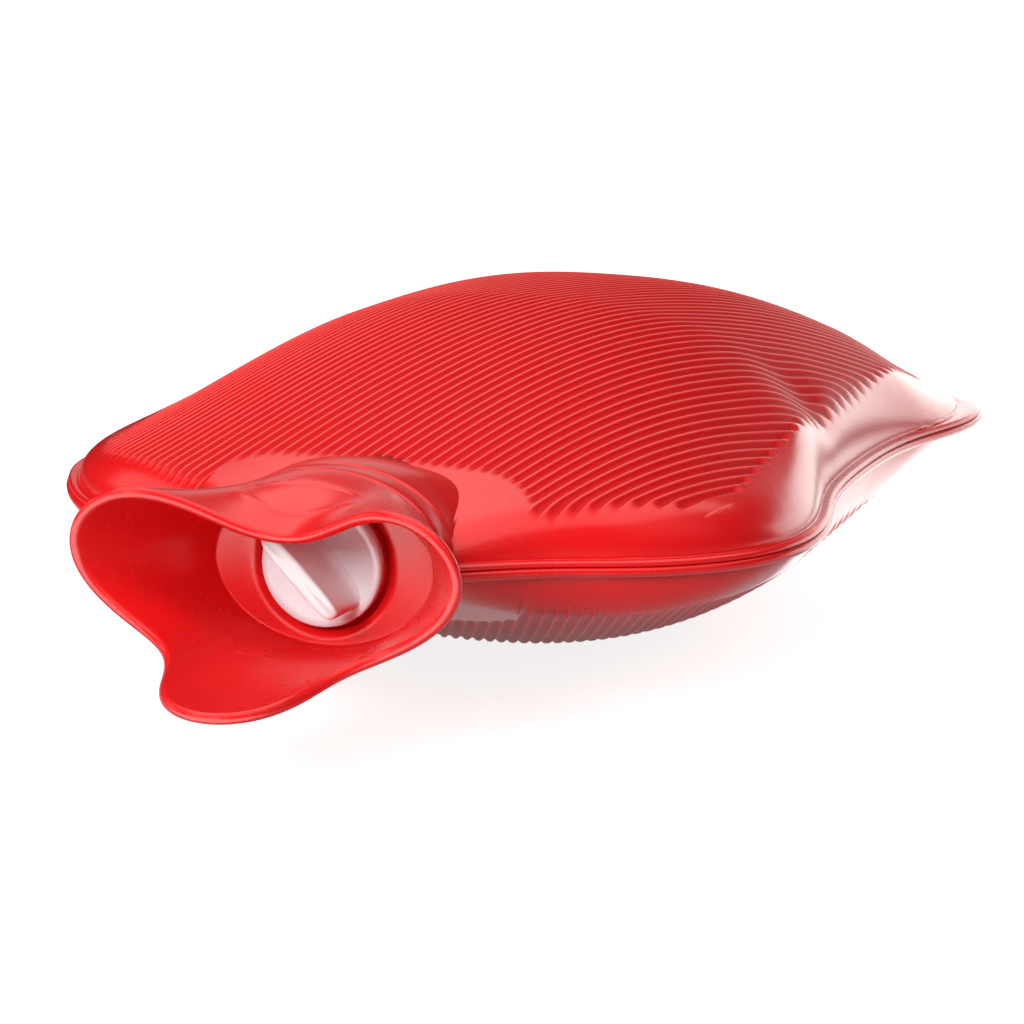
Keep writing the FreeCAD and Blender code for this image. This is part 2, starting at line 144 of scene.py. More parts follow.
def spline_through(points, count):
    """Smooth curve through points: cubic pieces in the chord length, unbent at both ends."""
    points = np.asarray(points, float)
    step = np.linalg.norm(np.diff(points, axis=0), axis=1)
    at = np.concatenate([[0.0], np.cumsum(step)])
    system = np.eye(len(at))
    right = np.zeros_like(points)
    inner = np.arange(1, len(at) - 1)
    slope = np.diff(points, axis=0) / step[:, None]
    system[inner, inner - 1] = step[:-1]
    system[inner, inner] = 2 * (step[:-1] + step[1:])
    system[inner, inner + 1] = step[1:]
    right[inner] = 6 * np.diff(slope, axis=0)
    bend = np.linalg.solve(system, right)
    where = np.linspace(0, at[-1], count)
    k = np.clip(np.searchsorted(at, where, side="right") - 1, 0, len(step) - 1)
    a = ((at[k + 1] - where) / step[k])[:, None]
    b = 1 - a
    h2 = (step[k] ** 2 / 6)[:, None]
    return a * points[k] + b * points[k + 1] + h2 * ((a**3 - a) * bend[k] + (b**3 - b) * bend[k + 1])


def outline_points(count=4001):
    """Plan of the rim's outer edge, from the right of the neck anticlockwise to its left, and its outward
    side: the spline's direction turned by a right angle."""
    loop = OUTLINE + [(0, BODY_LENGTH)] + [(-x, y) for x, y in reversed(OUTLINE)]
    curve = spline_through(loop, count)
    along = np.gradient(curve, axis=0)
    along /= np.linalg.norm(along, axis=1)[:, None]
    return curve, np.stack([along[:, 1], -along[:, 0]], axis=1)


def rim_width(y):
    """Width of the flat rim beside the wall: wider round the foot."""
    return RIM_WIDTH + FOOT_WIDENING * smooth_step(y, *FOOT_ZONE)


def wall_distance(x, y):
    """Distance of plan points from the wall's foot line, measured square to it at the nearest point."""
    curve, outward = outline_points(700)
    foot = curve - outward * rim_width(curve[:, 1])[:, None]
    right = foot[:, 0] >= 0
    foot, outward = foot[right], outward[right]
    rows = []
    for part in np.array_split(np.column_stack([np.abs(x).ravel(), y.ravel()]), 24):
        near = np.linalg.norm(part[:, None] - foot[None], axis=2).argmin(axis=1)
        rows.append(((foot[near] - part) * outward[near]).sum(axis=1))
    return np.clip(np.concatenate(rows), 0, None).reshape(x.shape)


print("outline", np.round(np.ptp(outline_points()[0], axis=0), 1), "mm wide and long")

# %% [markdown]
# The full bag is domed on both faces. A cloth simulation with pressure would dome them too, but it would pull
# the ribs and the sizes off the frame, so the dome is a formula. Over the rim it has the height
#
#     h = E + (R - E) (1 - |(x - x0)/97|^2.5) (1 - s^p)
#
# where E is the height at the edge and R at the crest, x0 shifts the crest sideways, s is the distance from
# the crest line as a share of the way to the end, and p is the power towards that end. Near the foot line
# the height over the rim is scaled by the superellipse
#
#     w = (1 - (1 - d/r)^n)^(1/n)
#
# of the distance d, which rounds the shoulder over the reach r into an upright wall. The lower half has
# sagged, so its edge is lower. The upper dome is lower at the foot's corners. At the right-hand waist, where
# the full bag buckles, it has a dent across the ribs, with a low swell in front of it.

# %% Dome height
CROWN_HALF_WIDTH = 97.0
CROWN_POWER = 2.5
CROWN_END_GAP = 4.0
FLAT_Z = 43.3
UPPER = {"rim": 1.6, "edge": 4.5, "rise": 44.5, "shift": 1.0, "crest": 145.5, "front": 1.6, "back": 3.5}
LOWER = {"rim": 2.3, "edge": 2.4, "rise": 44.5, "shift": 0.0, "crest": 144.0, "front": 1.9, "back": 3.3}
CORNER_DROP = 0.3
CORNER_ZONE = (60.0, 92.0)
ROUND_POWER = 2.2
ROUND_REACH = 8.0
FOOT_REACH = 7.0
FOOT_REACH_ZONE = (215.0, 270.0)
DENT_AT = (80.0, 144.0)
DENT_SLANT = 0.45
DENT_DEPTH, DENT_WIDTH = 2.6, 11.5
SWELL_HEIGHT, SWELL_WIDTH, SWELL_AHEAD = 1.0, 16.0, 26.0
DENT_RISE = (54.0, 78.0)
DENT_FADE = (80.0, 91.0)
DENT_FADE_SHARE = 0.8


def buckle(x, y):
    """Dent and swell of the upper dome at the right-hand waist: two bell curves across a slanted line, which
    grow towards the waist and mostly fade on the smooth band below the ribs."""
    along = y - DENT_AT[1] - DENT_SLANT * (DENT_AT[0] - x)
    dent = DENT_DEPTH * np.exp(-((along / DENT_WIDTH) ** 2))
    swell = SWELL_HEIGHT * np.exp(-(((along + SWELL_AHEAD) / SWELL_WIDTH) ** 2))
    return (swell - dent) * smooth_step(x, *DENT_RISE) * (1 - DENT_FADE_SHARE * smooth_step(x, *DENT_FADE))


def dome_height(x, y, half, distance):
    """Height above or below the parting plane, from the plan position and the distance from the wall."""
    across = 1 - np.clip(np.abs((x - half["shift"]) / CROWN_HALF_WIDTH), 0, 1) ** CROWN_POWER
    front = np.clip((half["crest"] - y) / half["crest"], 0, 1)
    back = np.clip((y - half["crest"]) / (BODY_LENGTH - CROWN_END_GAP - half["crest"]), 0, 1)
    along = 1 - front ** half["front"] - back ** half["back"]
    height = half["edge"] + (half["rise"] - half["edge"]) * across * along
    if half is UPPER:
        height = height + buckle(x, y)
        height *= 1 - CORNER_DROP * smooth_step(np.abs(x), *CORNER_ZONE) * smooth_step(y, *FOOT_ZONE)
    reach = ROUND_REACH + FOOT_REACH * smooth_step(y, *FOOT_REACH_ZONE)
    inward = np.clip(1 - distance / reach, 0, 1)
    return half["rim"] + (height - half["rim"]) * (1 - inward**ROUND_POWER) ** (1 / ROUND_POWER)


height = dome_height(CENTRE[:1], CENTRE[1:], UPPER, np.array([90.0]))
print("dome", round(float(height[0]), 1), "mm high in the middle")

# %% [markdown]
# Each face carries a panel of slanting flutes with narrow crests between them. A bump texture could draw
# them, but they show in the outline and each one ends in a point, so they are real relief. The panel's border
# is the smooth minimum of its two sides, the slanted shoulders, an arc about the neck and the foot. The grid's
# rows are lines at 22 degrees to the length, cut where they cross that border.

# %% Border of the ribbed panel
RIB_ANGLE = math.radians(22.0)
LINE_REACH = np.arange(-220.0, 220.0, 0.4)
PANEL_HALF_WIDTH = 80.6
PANEL_FRONT = (43.5, 20.4)
PANEL_CORNER = (PANEL_HALF_WIDTH, 44.6)
PANEL_END_GAP = 20.0
ARC_CENTRE = (25.0, 15.5)
ARC_RADIUS = 18.2
CORNER_ROUNDING = 4.5
BORDER_ROUNDING = 1.2


def softest(values, width):
    """Smooth minimum of several arrays: corners between them are rounded over the width."""
    stack = np.stack(values)
    low = stack.min(axis=0)
    return low - width * np.log(np.exp((low - stack) / width).sum(axis=0))


def panel_margin(x, y):
    """Distance inside the panel: two sides, slanted shoulders, an arc about the neck and the foot."""
    slope = math.atan2(PANEL_CORNER[1] - PANEL_FRONT[1], PANEL_CORNER[0] - PANEL_FRONT[0])
    shoulder = (y - PANEL_FRONT[1]) * math.cos(slope) - (np.abs(x) - PANEL_FRONT[0]) * math.sin(slope)
    past = np.clip(np.abs(x) - ARC_CENTRE[0], 0, None), np.clip(y - ARC_CENTRE[1], 0, None)
    arc = np.hypot(*past) - ARC_RADIUS
    corner = softest([PANEL_HALF_WIDTH - np.abs(x), shoulder], CORNER_ROUNDING)
    return softest([corner, arc, BODY_LENGTH - PANEL_END_GAP - y], BORDER_ROUNDING)


def line_plan(offset, reach):
    """Plan position at a distance along the slanted line that lies at an offset from the middle."""
    x = offset[:, None] * math.cos(RIB_ANGLE) + reach * math.sin(RIB_ANGLE)
    y = CENTRE[1] - offset[:, None] * math.sin(RIB_ANGLE) + reach * math.cos(RIB_ANGLE)
    return x, y


def line_ends(offset, margin):
    """First and last distance along each slanted line where it lies a margin inside the panel, found between
    two samples by their values' ratio."""
    reach = LINE_REACH
    value = panel_margin(*line_plan(offset, reach)) - margin
    inside = value > 0
    first = inside.argmax(axis=1)
    last = inside.shape[1] - 1 - inside[:, ::-1].argmax(axis=1)
    row = np.arange(len(offset))

    def crossing(outer, inner):
        outer = np.clip(outer, 0, len(reach) - 1)
        a, b = value[row, outer], value[row, inner]
        share = np.where(a == b, 0.0, b / np.where(a == b, 1.0, b - a))
        return reach[inner] + (reach[outer] - reach[inner]) * share

    return crossing(first - 1, first), crossing(last + 1, last), inside.any(axis=1)

# %% [markdown]
# Eight rows of the grid make one pitch: two on the narrow crest and six in the flute between crests. Across a
# flute the depth is
#
#     d = D (w^2 - q^2)   where it is positive
#
# with q from -1 to 1 across the flute and w the sine that rises from 0 at the tip to 1 where the flute is
# full. A flute therefore ends in a point, like a spear. Three numbers go with each point, for the material:
# how deep it lies in a flute, whether it is on a crest, and whether it is in the matte field of the ribs.

# %% Flutes and crests
RIB_PITCH = 2.9
RIB_DEPTH = 1.05
RIB_RUN = 4.5
RIB_ROWS = np.array([-0.045, 0.045, 0.12, 0.25, 0.41, 0.59, 0.75, 0.88])
FLUTE_HALF = 0.455
LINE_STEPS = 66
# The tips lie 1 mm and the ends of the grid 2 mm outside the border
TIP_MARGIN = -1.0
GRID_MARGIN = -2.0
GRID_FADE = 1.2
SHORTEST_LINE = 5.0
SHORTEST_FLUTE = 20.0
CREST_RISE = 1.6
MATTE_RISE = 2.0


def ribbed_panel():
    """Plan positions (rows, steps, 2) of the panel's grid, with the flute depth, the crests and the matte
    share. The steps lie closer together at the ends of a line, where the tips are."""
    pitches = np.arange(-50, 50)
    row_pitch = np.repeat(pitches, len(RIB_ROWS))
    share = np.tile(RIB_ROWS, len(pitches))
    offset = (row_pitch + share) * RIB_PITCH
    start, end, there = line_ends(offset, GRID_MARGIN)
    keep = there & (end - start > SHORTEST_LINE)
    offset, start, end, row_pitch, share = (v[keep] for v in (offset, start, end, row_pitch, share))
    step = (1 - np.cos(np.linspace(0, np.pi, LINE_STEPS))) / 2
    reach = start[:, None] + (end - start)[:, None] * step
    x, y = line_plan(offset, reach)
    tip, tail, _ = line_ends((row_pitch + 0.5) * RIB_PITCH, TIP_MARGIN)
    near = np.clip(np.minimum(reach - tip[:, None], tail[:, None] - reach) / RIB_RUN, 0, 1)
    near *= (tail - tip > SHORTEST_FLUTE)[:, None]
    width = np.sin(near * np.pi / 2)
    across = np.clip(np.abs(share - 0.5) / FLUTE_HALF, 0, 1)
    own = np.clip((panel_margin(x, y) - GRID_MARGIN) / GRID_FADE, 0, 1)
    # Masks for the material: the depth sets the painted shade in the flutes, the crest the painted highlight.
    depth = RIB_DEPTH * own * np.clip(width**2 - (across**2)[:, None], 0, None)
    crest = (across >= 0.999)[:, None] * np.clip(near * CREST_RISE, 0, 1)
    return np.stack([x, y], axis=-1), depth, crest, own * np.clip(near * MATTE_RISE, 0, 1)


print("panel grid", ribbed_panel()[1].shape, "points")

# %% [markdown]
# Round the panel, rings follow the outline. Each column starts at the panel's edge and lies on a ray from the
# middle of the bag. It runs down the rounded shoulder to the foot line, out along the rim, round its rolled
# edge to the parting plane, and back in below the rubber's thickness. In front the columns end inside the
# neck's wall, on an arch. A Boolean could join bag and neck, but it would leave ragged triangles there.

# %% Rim and rays
RIM_TOP = 1.6
# Inset from the outer edge, and height over the parting plane
RIM_PROFILE = [(2.85, 1.35), (2.55, 1.5), (2.1, 1.62), (1.3, 1.66), (0.7, 1.5), (0.3, 1.15), (0.15, 0.75),
               (0.25, 0.38), (0.6, 0.12), (1.0, 0.0)]
ROLL_INSET = 2.0
LOWER_LIP = 0.5
NECK_MIDDLE = (28.2, 20.6)
ARCH_STEPS = 200
ARCH_FLATTENING = 3.6
ARCH_RAISE = 0.6
ARCH_SINK = 1.0
ARCH_FRONT = 3.0
ARCH_FADE = 0.35
ARCH_SIZE = 0.12
LIFT_HEIGHT = 3.0
LIFT_ZONE = (76.0, 96.0)
LIFT_AT, LIFT_WIDTH = 70.0, 60.0


def edge_loop(grid):
    """Index loop round a grid, anticlockwise in plan."""
    rows, steps = grid
    index = np.arange(rows * steps).reshape(rows, steps)
    return np.concatenate([index[:, 0], index[-1, 1:], index[-2::-1, -1], index[0, -2:0:-1]])


def rim_path(half):
    """Plan, outward side, lift and size of the rim: round the outline, then inside the neck's wall where
    the dome meets it, at the y where the dome's formula gives the arch's height."""
    curve, outward = outline_points()
    a = np.linspace(np.pi, 0, ARCH_STEPS)[1:-1]
    across, up = np.cos(a), np.sin(a)
    x, top = NECK_MIDDLE[0] * across, (NECK_MIDDLE[1] - ARCH_FLATTENING * up**4) * up
    share = (top + ARCH_RAISE - half["edge"]) / (half["rise"] - half["edge"])
    share = np.clip(share / (1 - np.abs(x / CROWN_HALF_WIDTH) ** CROWN_POWER), 0, 1)
    front = half["crest"] * (1 - (1 - share) ** (1 / half["front"]))
    neck = np.column_stack([x, np.maximum(front, ARCH_FRONT)])
    side = np.column_stack([np.zeros_like(a), -np.ones_like(a)])
    lift = np.concatenate([np.zeros(len(curve)), top - ARCH_SINK * up])
    size = np.concatenate([np.ones(len(curve)), np.clip(1 - up / ARCH_FADE, ARCH_SIZE, 1)])
    return np.concatenate([curve, neck]), np.concatenate([outward, side]), lift, size


def rim_at(bearing_wanted, half):
    """Rim values where rays from the middle of the bag cross it."""
    plan, side, lift, size = rim_path(half)
    bearing = np.unwrap(np.arctan2(plan[:, 1] - CENTRE[1], plan[:, 0] - CENTRE[0]))
    order = np.argsort(bearing)

    def pick(values):
        return np.interp(bearing_wanted, bearing[order], values[order], period=2 * np.pi)

    plan = np.column_stack([pick(plan[:, 0]), pick(plan[:, 1])])
    side = np.column_stack([pick(side[:, 0]), pick(side[:, 1])])
    side /= np.linalg.norm(side, axis=1)[:, None]
    return plan, side, pick(lift), pick(size)


def rim_lift(x, y):
    """Upward bend of the rim at the left shoulder."""
    return LIFT_HEIGHT * smooth_step(-x, *LIFT_ZONE) * np.exp(-(((y - LIFT_AT) / LIFT_WIDTH) ** 2))


print("rim profile", len(RIM_PROFILE), "points, lower edge", LOWER_LIP, "mm further out")

# %% [markdown]
# Each half is a closed mesh and meets the other at the parting plane, as the two sides of the mould do. The
# lower half is made like the upper one and then turned over about the bottle's length. It is cut off flat
# where the bottle lies on the floor, and its edge is a little thicker and further out.

# %% One half of the bag
WALL_STEPS = 20
LOWER_RIB_SHARE = 0.7
SHEET = 3.6
SHEET_EDGE = 2.0
SHEET_LOWEST = 0.8
SHEET_INSET = 2.6
SHEET_DISTANCE = 5.0
SHEET_SHARES = (1.0, 0.93, 0.8, 0.6, 0.35, 0.12)


def wall_rings(half, start, foot, lift, size):
    """Rings from the panel's edge down the shoulder to the foot line, closer together towards the foot."""
    rings = []
    for left in (1 - np.arange(1, WALL_STEPS + 1) / WALL_STEPS) ** ROUND_POWER:
        xy = foot + (start - foot) * left
        height = dome_height(*xy.T, half, wall_distance(xy[:, 0], xy[:, 1]))
        rings.append(np.column_stack([xy, np.maximum(height, lift + half["rim"] * size)]))
    return rings


def rim_rings(half, edge, side, width, lift, size):
    """Rings along the profile of the rim: insets on its flat part grow with its width, those of the rolled
    edge don't."""
    rings = []
    for inset, z in RIM_PROFILE:
        rolled = inset < ROLL_INSET
        lip = LOWER_LIP if half is LOWER and rolled else 0.0
        inwards = (inset - lip) * size if rolled else inset / RIM_WIDTH * width
        rings.append(np.column_stack([edge - side * inwards[:, None], lift + z * half["rim"] / RIM_TOP * size]))
    return rings


def sheet_rings(half, inner, lift, from_wall):
    """Rings that close the half from below, one rubber thickness under the dome."""
    rings = [np.column_stack([inner, lift])]
    for share in SHEET_SHARES:
        xy = CENTRE + (inner - CENTRE) * share
        z = dome_height(xy[:, 0], xy[:, 1], half, SHEET_DISTANCE + from_wall) - SHEET
        z = z - (SHEET_EDGE if share == 1.0 else 0.0)
        rings.append(np.column_stack([xy, np.maximum(z, np.maximum(lift - SHEET_EDGE, SHEET_LOWEST))]))
    return rings


def bag_half(half):
    """Points, faces and panel values of one half. The lower half is turned over, so that its ribs run the
    same way when seen from outside."""
    turn = 1 if half is UPPER else -1
    plan, depth, crest, matte = ribbed_panel()
    height = dome_height(plan[..., 0], plan[..., 1], half, wall_distance(plan[..., 0], plan[..., 1]))
    if half is LOWER:
        height = np.minimum(height, FLAT_Z)
        depth = depth * LOWER_RIB_SHARE
    panel = np.concatenate([plan, (height - depth)[..., None]], axis=-1).reshape(-1, 3)
    loop = edge_loop(depth.shape)
    loop = loop[: len(loop) // 2 * 2]
    start = panel[loop][::2, :2]
    edge, side, lift, size = rim_at(np.arctan2(start[:, 1] - CENTRE[1], start[:, 0] - CENTRE[0]), half)
    width = rim_width(edge[:, 1]) * size
    foot = edge - side * width[:, None]
    inner = foot - side * (SHEET_INSET * size)[:, None]
    rings = np.stack(wall_rings(half, start, foot, lift, size) + rim_rings(half, edge, side, width, lift, size)
                     + sheet_rings(half, inner, lift, wall_distance(start[:, 0], start[:, 1])))

    count, columns = len(panel), len(start)
    cap = np.array([[*CENTRE, half["rise"] - SHEET]])
    points = np.concatenate([panel, rings.reshape(-1, 3), cap])
    points[:, 2] += rim_lift(points[:, 0] * turn, points[:, 1]) * turn
    first = count + np.arange(columns)
    second = np.roll(first, -1)
    even, odd = loop[::2], loop[1::2]
    join = np.concatenate([np.stack(corners, axis=-1) for corners in
                           ((even, odd, first), (odd, second, first), (odd, np.roll(even, -1), second))])
    last = count + (len(rings) - 1) * columns + np.arange(columns)
    faces = [quads(*depth.shape), join, quads(len(rings), columns, first=count, closed=True),
             fan(last, len(points) - 1)]
    rest = np.zeros(len(points) - count)
    values = {label: np.concatenate([value.ravel(), rest]) for label, value in
              (("flute", depth / RIB_DEPTH), ("crest", crest), ("matte", matte))}
    return points * np.array([turn, 1.0, turn]), [f[:, ::-1] for f in faces], values

# %% [markdown]
# The neck is an oval tube, moulded with the bag, with a ring groove round it. It stays straight for 15 mm and
# then spreads into the shoulder. Inside it is the bore that holds the funnel's plug. Lathe work, as with the
# Screw modifier, gives only round tubes, so oval rings are stacked along the axis instead.

# %% Neck
NECK = (29.4, 21.8)
BORE = (26.4, 18.8)
ROUND_STEPS = 192
# Growth of both half axes, and distance along the neck
NECK_PROFILE = [(-0.7, 0.0), (-0.25, 0.12), (0.0, 0.5), (0.05, 2.5), (0.05, 6.3), (0.0, 6.75), (-0.3, 7.15),
                (-0.7, 7.45), (-0.72, 7.75), (-0.3, 8.05), (0.0, 8.45), (0.05, 8.9), (0.1, 12.0), (0.1, 14.0)]
# Growth of the half width and of the half height, and distance along the neck
NECK_SPREAD = [(0.4, 0.0, 16.0), (1.2, -0.3, 19.0), (2.6, -1.0, 23.0), (5.0, -2.2, 28.0), (8.5, -4.0, 34.0),
               (12.0, -6.5, 42.0)]
BORE_PROFILE = (42.0, 12.0, 0.0)


def oval(half_width, half_height, y):
    """Ring of points round the neck axis: x = a sin t, z = b cos t, starting at the top."""
    t = np.linspace(0, 2 * np.pi, ROUND_STEPS, endpoint=False)
    return np.column_stack([half_width * np.sin(t), np.broadcast_to(y, t.shape), half_height * np.cos(t)])


def neck_rings():
    """Rings down the outside of the neck, and back through its bore."""
    rings = [oval(NECK[0] + grown, NECK[1] + grown, y) for grown, y in NECK_PROFILE]
    rings += [oval(NECK[0] + wide, NECK[1] + high, y) for wide, high, y in NECK_SPREAD]
    return rings + [oval(*BORE, y) for y in BORE_PROFILE]


print("neck", len(neck_rings()), "rings")

# %% [markdown]
# The funnel is a soft cup whose free edge dips at the upper lip, rises at two lobes and runs out into a lower
# tongue. Lofting between drawn curves would do for the source, but a closed curve of five harmonics, fitted to
# the edge, is smooth all the way round. A ring between the neck and the edge is
#
#     P = B + (F - B) s, moved inwards by k s (1 - s)^1.3 g
#
# with B on the neck, F on the free edge, s the share of the way and g how much wider the edge is. The cup is
# dished where it widens. Where it narrows, it bulges, which leaves room for the stopper under the upper lip.

# %% Funnel: free edge and flare
FUNNEL_WALL = 2.6
FLOOR_Y = -0.6
DISH = 0.33
DISH_POWER = 1.3
LIP_BULGE = 3.0


def free_edge():
    """Outer line of the free edge, starting at the upper lip: harmonics fitted to its outline."""
    t = np.pi / 2 - np.linspace(0, 2 * np.pi, ROUND_STEPS, endpoint=False)
    x = (39.83 * np.cos(t) + 5.09 * np.sin(2 * t) + 2.75 * np.cos(3 * t) + 3.22 * np.sin(4 * t)
         + 1.75 * np.cos(5 * t))
    y = (-41.83 + 12.44 * np.sin(t) + 6.21 * np.cos(2 * t) - 7.19 * np.sin(3 * t) - 0.35 * np.cos(4 * t)
         + 0.79 * np.sin(5 * t))
    z = 0.21 + 21.69 * np.sin(t) + 2.32 * np.cos(2 * t) + 5.21 * np.sin(3 * t) - 2.62 * np.cos(4 * t)
    return np.column_stack([x, y, z])


def flare(base, edge, share):
    """Ring part of the way from the neck to the free edge, dished where the funnel widens."""
    dish = DISH * share * (1 - share) ** DISH_POWER
    point = base + (edge - base) * share
    radial = point * np.array([1.0, 0.0, 1.0])
    radial /= np.linalg.norm(radial, axis=1)[:, None]
    growth = np.hypot(edge[:, 0], edge[:, 2]) - np.hypot(base[:, 0], base[:, 2])
    growth = np.where(growth < 0, LIP_BULGE * growth, growth)
    return point - radial * (dish * growth)[:, None]


def ring_normals(rings):
    """Outward unit normals of a closed stack of rings that starts at the neck."""
    down = np.gradient(rings, axis=0)
    around = (np.roll(rings, -1, axis=1) - np.roll(rings, 1, axis=1)) / 2
    normal = np.cross(down, around)
    return normal / np.linalg.norm(normal, axis=2)[..., None]


print("free edge", np.round(np.ptp(free_edge(), axis=0), 1), "mm wide, deep and high")

# %% [markdown]
# On its upper face the real funnel has a thin raised line in the shape of an almond. It is a ridge of 0.3 mm,
# so it is added along the normals of the same grid: a bell curve round the line where the shape function is 1.

# %% Funnel: skin of the cup
ALMOND_HALF_WIDTH = 17.0
ALMOND_HALF_DEPTH = 6.2
ALMOND_Y = -15.0
ALMOND_RIDGE = 0.30
ALMOND_LINE = 0.10
FLOOR_BLEND = 0.12
FLOOR_SHARE = 0.015
EDGE_TURNS = np.linspace(0, np.pi, 11)[1:-1]
CUP_SHARES = np.concatenate([np.linspace(0, 0.06, 4), np.linspace(0.06, 0.97, 40)[1:]])


def almond(points):
    """Height of the raised line round an almond-shaped field on the funnel's upper face."""
    u = points[..., 0] / ALMOND_HALF_WIDTH
    v = (points[..., 1] - ALMOND_Y) / ALMOND_HALF_DEPTH
    shape = np.abs(v) / np.clip(1 - u**2, 1e-3, None) ** 0.9
    line = np.exp(-(((shape - 1) / ALMOND_LINE) ** 2))
    return np.where((np.abs(u) < 1) & (points[..., 2] > 0), ALMOND_RIDGE * line, 0.0)


def cup_rings():
    """Rings over the outside, round the full radius of the free edge and down the inside to the floor."""
    edge = free_edge()
    base = oval(*NECK, 0.0)
    outer = np.stack([flare(base, edge, share) for share in CUP_SHARES])
    normal = ring_normals(outer)
    inner = outer - normal * FUNNEL_WALL
    floor = oval(NECK[0] - FUNNEL_WALL, NECK[1] - FUNNEL_WALL, FLOOR_Y)
    near = np.clip(1 - CUP_SHARES / FLOOR_BLEND, 0, 1)[:, None, None]
    inner = inner * (1 - near) + floor * near
    middle = (outer[-1] + inner[-1]) / 2
    half = (outer[-1] - inner[-1]) / 2
    tip = outer[-1] - outer[-2]
    tip /= np.linalg.norm(tip, axis=1)[:, None]
    size = np.linalg.norm(half, axis=1)[:, None]
    turned = [middle + half * math.cos(a) + tip * size * math.sin(a) for a in EDGE_TURNS]
    outside = outer + normal * almond(outer)[..., None]
    return [*outside[1:], *turned, *inner[::-1][CUP_SHARES[::-1] > FLOOR_SHARE]]


print("cup", len(cup_rings()), "rings")

# %% [markdown]
# From the floor the skin goes over a bevel into the washer's seat, through the threaded socket, and back round
# the oval plug that sits in the neck. A helix swept along a path would make a thread as a loose coil. Here the
# radius of each ring goes up and down once round the axis, and that wave turns once in each pitch of 4 mm.

# %% Funnel: seat, socket and plug
SEAT_Y = 2.6
SEAT_MARGIN = 0.9
FLOOR_INSET = 0.5
THREAD_PITCH = 4.0
# Radius, and distance along the neck axis
SEAT_PROFILE = [(21.0, FLOOR_Y), (18.4, FLOOR_Y), (17.5, FLOOR_Y + 0.05), (17.1, FLOOR_Y + 0.3), (16.1, 0.6),
                (15.85, 0.9), (15.8, 1.3), (15.8, SEAT_Y - 0.2), (15.6, SEAT_Y), (13.4, SEAT_Y),
                (13.05, SEAT_Y + 0.2)]
SOCKET_RADIUS, SOCKET_THREAD = 12.95, 0.75
SOCKET_START, SOCKET_END, SOCKET_RUN = 3.3, 16.4, 1.5
# Half width, half height, and distance along the neck axis
PLUG_PROFILE = [(13.3, 13.3, 17.0), (17.4, 17.4, 17.0), (17.8, 17.8, 16.6), (17.8, 17.8, 7.2),
                (18.6, 18.2, 7.0), (26.0, 18.5, 7.0), (26.3, 18.7, 6.7), (26.3, 18.7, 0.05)]


def round_ring(radius, y, steps):
    """Ring of points round the neck axis. The radius is one number, or one for each point."""
    t = np.linspace(0, 2 * np.pi, steps, endpoint=False)
    return np.column_stack([radius * np.sin(t), np.broadcast_to(y, t.shape), radius * np.cos(t)])


def thread_ring(root, height, fade, y, steps):
    """Ring of a thread: the root radius plus a wave with a flat top, which turns once a pitch."""
    t = np.linspace(0, 2 * np.pi, steps, endpoint=False)
    wave = np.clip(0.5 + 0.9 * np.cos(2 * np.pi * (y / THREAD_PITCH) - t), 0, 1)
    return round_ring(root + height * wave * fade, y, steps)


def funnel_rings():
    """Rings of the whole funnel, from the neck over the cup, the seat and the socket to the plug."""
    rings = [oval(NECK[0] - 0.7, NECK[1] - 0.7, 0.02), oval(NECK[0] - 0.2, NECK[1] - 0.2, -0.12)]
    rings += cup_rings()
    rings += [oval(NECK[0] - FUNNEL_WALL - FLOOR_INSET, NECK[1] - FUNNEL_WALL - FLOOR_INSET, FLOOR_Y)]
    rings += [oval(radius, min(radius, NECK[1] - FUNNEL_WALL - SEAT_MARGIN), y) for radius, y in SEAT_PROFILE]
    for y in np.linspace(SOCKET_START, SOCKET_END, 40):
        fade = min(1.0, (y - SOCKET_START) / SOCKET_RUN, (SOCKET_END - y) / SOCKET_RUN)
        rings.append(thread_ring(SOCKET_RADIUS, SOCKET_THREAD, fade, y, ROUND_STEPS))
    return rings + [oval(wide, high, y) for wide, high, y in PLUG_PROFILE]


print("funnel", len(funnel_rings()), "rings")

# %% [markdown]
# The stopper is moulded in one piece, but it is made here as two, which overlap: a round body and the blade
# that turns it. The body's rings run from the dish over the disc's rounded edge, down the threaded shank and
# back inside its hollow. The Screw modifier could spin such a profile, but the thread would be plain rings.

# %% Stopper: disc and shank
STOPPER_STEPS = 144
DISC_FRONT = -3.0
DISC_BACK = 0.4
DISH_DEPTH = 1.0
DISH_SWEEP = 0.95
DISH_RADIUS = 12.6
DISH_RADII = (1.0, 3.0, 5.0, 7.0, 9.0, 10.5, 11.6, 12.4)
DISC_PROFILE = [(12.9, DISC_FRONT), (13.7, DISC_FRONT), (14.25, DISC_FRONT + 0.12), (14.5, DISC_FRONT + 0.4),
                (14.6, DISC_FRONT + 0.8), (14.6, DISC_BACK - 0.5), (14.4, DISC_BACK - 0.1), (14.0, DISC_BACK),
                (12.9, DISC_BACK), (12.45, DISC_BACK + 0.3)]
SHANK_RADIUS, SHANK_THREAD = 11.9, 0.7
SHANK_START, SHANK_END = 1.0, 12.6
THREAD_START, THREAD_RUN, THREAD_RUN_OUT = 3.0, 1.5, 1.2
HOLLOW_PROFILE = [(11.6, 13.2), (11.0, 13.4), (10.4, 13.4), (10.2, 13.0), (10.2, 1.6), (9.4, 0.8), (5.0, 0.7)]
HOLLOW_TOP = 0.7


